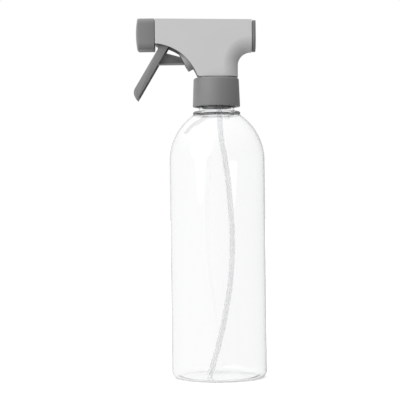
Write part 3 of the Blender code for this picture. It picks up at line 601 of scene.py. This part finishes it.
def make_nozzle(surface, insert_surface):
    """A square domed cap with filleted edges, and its insert."""
    steps = 160
    half = CAP_HIGH.y
    rear, front = BARREL.x - CAP_HIGH.x, BARREL.x - CAP_LOW.x
    dome_radius, fillet, corner, wall = 0.0616, 0.0011, 0.0040, 0.0017
    outer = squircle(half, corner, steps)
    inner = squircle(half - wall, corner - wall, steps)
    bore, recess_floor, hub_bore = 0.0032, 0.0537, 0.0055

    def dome(reach):
        return front - reach * reach / (2 * dome_radius)

    def level(reach, height):
        return polar_row([reach] * steps, [height] * steps)

    rows = [level(bore, dome(bore) - 0.0003), level(bore + 0.0003, dome(bore + 0.0003))]
    flat_rows = 14
    for index in range(1, flat_rows + 1):
        share = index / flat_rows
        reaches = [bore + 0.0003 + (reach - fillet - bore - 0.0003) * share for reach in outer]
        rows.append(polar_row(reaches, [dome(reach) for reach in reaches]))
    for index in range(1, 9):
        angle = math.radians(90 * index / 8)
        reaches = [reach - fillet * (1 - math.sin(angle)) for reach in outer]
        heights = [dome(reach - fillet) - fillet * (1 - math.cos(angle)) for reach in outer]
        rows.append(polar_row(reaches, heights))
    rows += [polar_row(outer, [rear + 0.0004] * steps)]
    rows += [polar_row([reach - 0.0001 for reach in outer], [rear + 0.0001] * steps)]
    rows += [polar_row([reach - 0.0004 for reach in outer], [rear] * steps)]
    rows += [polar_row([reach + 0.0003 for reach in inner], [rear] * steps)]
    rows += [polar_row(inner, [rear + 0.0003] * steps)]
    inside_front = 0.0523
    rows.append(polar_row(inner, [inside_front - 0.0004] * steps))
    rows.append(polar_row([reach - 0.0004 for reach in inner], [inside_front] * steps))
    hub, hub_floor, spray_hole = 0.0070, 0.0514, 0.0014
    rows += [level(hub, inside_front), level(hub, rear + 0.0008), level(hub - 0.0002, rear + 0.0006)]
    rows += [level(hub_bore + 0.0002, rear + 0.0006), level(hub_bore, rear + 0.0008)]
    rows += [level(hub_bore, hub_floor), level(spray_hole, hub_floor), level(spray_hole, recess_floor)]
    rows.append(level(bore, recess_floor))
    turn = (0, -math.pi / 2, 0)
    where = BARREL
    cap = skin("nozzle_shell", rows, closed=True, location=where, rotation=turn)
    dress(cap, surface, "nozzle", ["nozzle_cap"])
    radius = (INSERT_HIGH.y - INSERT_LOW.y) / 2
    back, face = BARREL.x - INSERT_HIGH.x, BARREL.x - INSERT_LOW.x
    insert = turned("swirl_insert", [
        (radius - 0.0002, face), (radius, face - 0.0002), (radius, back + 0.0002), (radius - 0.0002, back),
        (0.0010, back), (0.0004, back + 0.0011), (0.0004, face - 0.0007), (0.0006, face - 0.0005),
        (0.0012, face - 0.0001), (0.0014, face),
    ], closed=True, location=where, rotation=turn)
    dress(insert, insert_surface, "nozzle", ["orifice_insert"])


def swept(route, radius, sides):
    """Loops of points around a route, one at each of its points."""
    rows = []
    across = Vector((0, 1, 0))
    for index, point in enumerate(route):
        ahead = route[min(index + 1, len(route) - 1)] - route[max(index - 1, 0)]
        ahead.normalize()
        across = (across - across.dot(ahead) * ahead).normalized()
        other = ahead.cross(across)
        rows.append([point + radius * (math.cos(math.tau * k / sides) * across
                                       + math.sin(math.tau * k / sides) * other)
                     for k in range(sides)])
    return rows


def make_spring(name, node, origin, along, radius, wire, start, end, surface):
    """A coil with closed ends."""
    turns, per_turn, closed_share = 4.5, 44, 0.11
    along = Vector(along)
    side = Vector((0, 1, 0))
    up = along.cross(side)
    count = round(turns * per_turn)
    route = []
    for index in range(count + 1):
        share = index / count
        rise = min(1, max(0, (share - closed_share) / (1 - 2 * closed_share)))
        angle = math.tau * turns * share
        height = start + wire + (end - start - 2 * wire) * rise
        route.append(along * height + radius * (math.cos(angle) * side + math.sin(angle) * up))
    spring = skin(name, swept(route, wire, 12), capped=True, location=origin)
    dress(spring, surface, "head", [node])
    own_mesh(spring)


def make_springs():
    """Both coils. Start and end are distances from the origin along the axis."""
    mouth = AXIS + Vector((-0.0234, 0, 0.2260))
    make_spring("return_coil", "return_spring", mouth, JOINTS["piston_slide"]["axis"],
                radius=0.0036, wire=0.00035, start=0.00945, end=0.01970,
                surface=steel("spring_steel", (0.62, 0.62, 0.63), 0.24))
    make_spring("outlet_coil", "outlet_valve_spring", BARREL, (-1, 0, 0),
                radius=0.0021, wire=0.00025, start=0.03770, end=0.04440,
                surface=steel("fine_spring_steel", (0.64, 0.64, 0.65), 0.22))


def make_tube(surface):
    """The dip tube, inside and out, swept along its route."""
    route = smooth_route(TUBE_ROUTE, 150)
    rows = swept(route, TUBE_RADIUS, 48) + swept(route, TUBE_BORE, 48)[::-1]
    tube = skin("dip_tube_wall", rows, closed=True)
    dress(tube, surface, "head", ["dip_tube"])


def make_trigger(surface):
    """A channel with a rounded front plate, two cheeks on the trunnions and a pusher arm."""
    low, high = Vector((-0.0611, 0.2020)), Vector((-0.0414, 0.2350))
    along = (high - low).normalized()
    inward = Vector((along.y, -along.x))
    half, wall, plate_depth, tip_radius = 0.0080, 0.0016, 0.0018, 0.0062
    outline = rounded([
        (-0.0421, 0.2375, 0.0005), (*high, 0.0015), (*low, tip_radius), (-0.0564, 0.1988, 0),
        (-0.0549, 0.2012, 0.0006), (-0.0341, 0.2363, 0.0020), (-0.0292, 0.2420, 0.0030),
        (-0.0292, 0.2478, 0.0035), (-0.0368, 0.2478, 0.0035), (-0.0398, 0.2392, 0.0006),
    ], 10)
    foremost = TRIGGER_LOW.x - AXIS.x
    trigger = prism("trigger_lever", [(max(x, foremost), z) for x, z in outline], half)
    plate = low + inward * plate_depth
    foot, top = plate + along * plate_depth, plate + along * 0.0500
    channel = rounded([(*foot, tip_radius - plate_depth), (*top, 0), (*(top + inward * 0.0200), 0),
                       (*(foot + inward * 0.0200), 0)], 10)
    carve(trigger, prism("channel", channel, half - wall))
    fork = [(-0.0480, 0.2383), (-0.0200, 0.2383), (-0.0200, 0.2520), (-0.0480, 0.2520)]
    carve(trigger, prism("fork", fork, half - wall))
    soften(trigger, 0.0004, segments=2, angle=40)
    apply_modifiers(trigger)
    hole = turned("trunnion_hole", [(0, -0.012), (0.0023, -0.012), (0.0023, 0.012), (0, 0.012)],
                  steps=48, location=AXIS + PIVOT, rotation=(math.pi / 2, 0, 0))
    carve(trigger, hole)
    trigger.data.shade_smooth()
    trigger.data.set_sharp_from_angle(angle=SMOOTH_ANGLE)
    arm_bottom = 0.2244
    nose, down = Vector((-0.02146, 0.22704)), Vector((0.47409, -0.88048))
    tip = (nose.y - arm_bottom) / -down.y
    arm = prism("arm", rounded([
        (-0.0405, 0.2339, 0), (*(nose - 0.0020 * down), 0.0018),
        (nose.x + tip * down.x, arm_bottom, 0.0016), (-0.0462, arm_bottom, 0),
    ], 8), 0.0022)
    flange = prism("arm_flange", [
        (-0.0440, arm_bottom), (-0.0230, arm_bottom), (-0.0235, arm_bottom + 0.0010),
        (-0.0440, arm_bottom + 0.0010)], 0.0032)
    carve(trigger, arm, "UNION")
    carve(trigger, flange, "UNION")
    trigger.data.shade_smooth()
    trigger.data.set_sharp_from_angle(angle=SMOOTH_ANGLE)
    dress(trigger, surface, "trigger", ["trigger"])


def finish_inner_nodes(pump_surface):
    """The inner CAD nodes keep their shape and get real surfaces."""
    natural = plastic("natural_plastic", (0.74, 0.74, 0.71), 0.42)
    surfaces = {
        "pump_body": pump_surface,
        "neck_gasket": foam("gasket_foam", (0.80, 0.80, 0.77)),
        "tube_retainer": natural,
        "piston": natural,
        "outlet_valve": natural,
        "spinner": natural,
        "vent_seal": rubber("vent_rubber", (0.035, 0.035, 0.037)),
        "piston_seal": rubber("piston_rubber", (0.030, 0.030, 0.032)),
        "nozzle_seal": rubber("nozzle_rubber", (0.025, 0.025, 0.026)),
        "inlet_ball": steel("ball_steel", (0.70, 0.70, 0.71), 0.12),
    }
    for name, surface in surfaces.items():
        node = frame["nodes"][name]
        node.data.materials.clear()
        node.data.materials.append(surface)


# ---------------------------------------------------------------- surroundings

def make_floor():
    floor = skin("floor", [[(-30, -30, -0.0001), (30, -30, -0.0001), (30, 30, -0.0001), (-30, 30, -0.0001)],
                           [(0, 0, -0.0001)]], location=(0, 0, 0))
    made, shader, where = blank("floor_white")
    tone = two_tone(made, noise(made, where, 3), (0.96, 0.96, 0.96), (0.98, 0.98, 0.98))
    made.node_tree.links.new(tone, shader.inputs["Base Color"])
    shader.inputs["Roughness"].default_value = 0.9
    shader.inputs["Specular IOR Level"].default_value = 0.0
    # A lit table: its faint glow keeps it white where the bottle shades it
    shader.inputs["Emission Color"].default_value = (1, 1, 1, 1)
    shader.inputs["Emission Strength"].default_value = 0.35
    floor.data.materials.append(made)
    # The glass and the plastics are lit by the studio's graded light, not by the floor
    floor.visible_transmission = False
    floor.visible_glossy = False
    floor.visible_diffuse = False


def make_world():
    """A plain white surround. What it sheds on the object is brighter on the left and above."""
    world = bpy.data.worlds.new("studio")
    bpy.context.scene.world = world
    world.use_nodes = True
    nodes, link = world.node_tree.nodes, world.node_tree.links.new
    background = nodes["Background"]
    where = nodes.new("ShaderNodeTexCoord")
    parts = nodes.new("ShaderNodeSeparateXYZ")
    link(where.outputs["Generated"], parts.inputs["Vector"])

    def ramp(source, stops):
        node = nodes.new("ShaderNodeMapRange")
        node.interpolation_type = "SMOOTHSTEP"
        low, high, from_low, from_high = stops
        node.inputs["From Min"].default_value = from_low
        node.inputs["From Max"].default_value = from_high
        node.inputs["To Min"].default_value = low
        node.inputs["To Max"].default_value = high
        link(source, node.inputs["Value"])
        return node.outputs["Result"]

    def combine(kind, first, second):
        node = nodes.new("ShaderNodeMath")
        node.operation = kind
        link(first, node.inputs[0])
        link(second, node.inputs[1])
        return node.outputs["Value"]

    sideways = ramp(parts.outputs["X"], (0.88, 0.30, -0.65, 0.60))
    above = ramp(parts.outputs["Z"], (0.0, 0.75, 0.2, 0.95))
    shed = combine("ADD", sideways, above)
    path = nodes.new("ShaderNodeLightPath")
    white = combine("MAXIMUM", path.outputs["Is Camera Ray"], path.outputs["Is Transmission Ray"])
    seen = combine("MAXIMUM", white, shed)
    link(seen, background.inputs["Strength"])
    background.inputs["Color"].default_value = (1, 1, 1, 1)


def area_light(name, location, target, size, power):
    data = bpy.data.lights.new(name, "AREA")
    data.shape = "DISK"
    data.size = size
    data.energy = power
    lamp = bpy.data.objects.new(name, data)
    lamp.location = location
    lamp.rotation_euler = (Vector(target) - Vector(location)).to_track_quat("-Z", "Y").to_euler()
    bpy.context.scene.collection.objects.link(lamp)
    return lamp


def make_camera():
    data = bpy.data.cameras.new("camera")
    data.lens = 114.0
    data.sensor_width = 36.0
    camera = bpy.data.objects.new("camera", data)
    pitch, roll = math.radians(0.72), math.radians(-0.65)
    turn = Matrix.Rotation(math.pi / 2 + pitch, 4, "X") @ Matrix.Rotation(roll, 4, "Z")
    camera.matrix_world = Matrix.Translation((AXIS.x - 0.0126, -0.91, 0.1155)) @ turn
    bpy.context.scene.collection.objects.link(camera)
    bpy.context.scene.camera = camera


make_camera()
make_world()
make_floor()
area_light("key", (-0.85, -0.95, 0.80), (0, 0, 0.13), 1.5, 5)
bpy.context.scene.view_settings.view_transform = "Standard"

dark = plastic("dark_grey_plastic", (0.245, 0.245, 0.246), 0.40)
make_bottle()
make_collar(dark)
make_shroud(plastic("shroud_plastic", (0.665, 0.665, 0.665), 0.42))
make_rear_cap(plastic("rear_cap_plastic", (0.21, 0.21, 0.21), 0.42))
make_nozzle(dark, plastic("insert_plastic", (0.15, 0.15, 0.15), 0.38))
make_trigger(plastic("trigger_plastic", (0.235, 0.235, 0.236), 0.38))
make_tube(milky_tube())
make_springs()
finish_inner_nodes(plastic("pump_plastic", (0.48, 0.48, 0.48), 0.42))
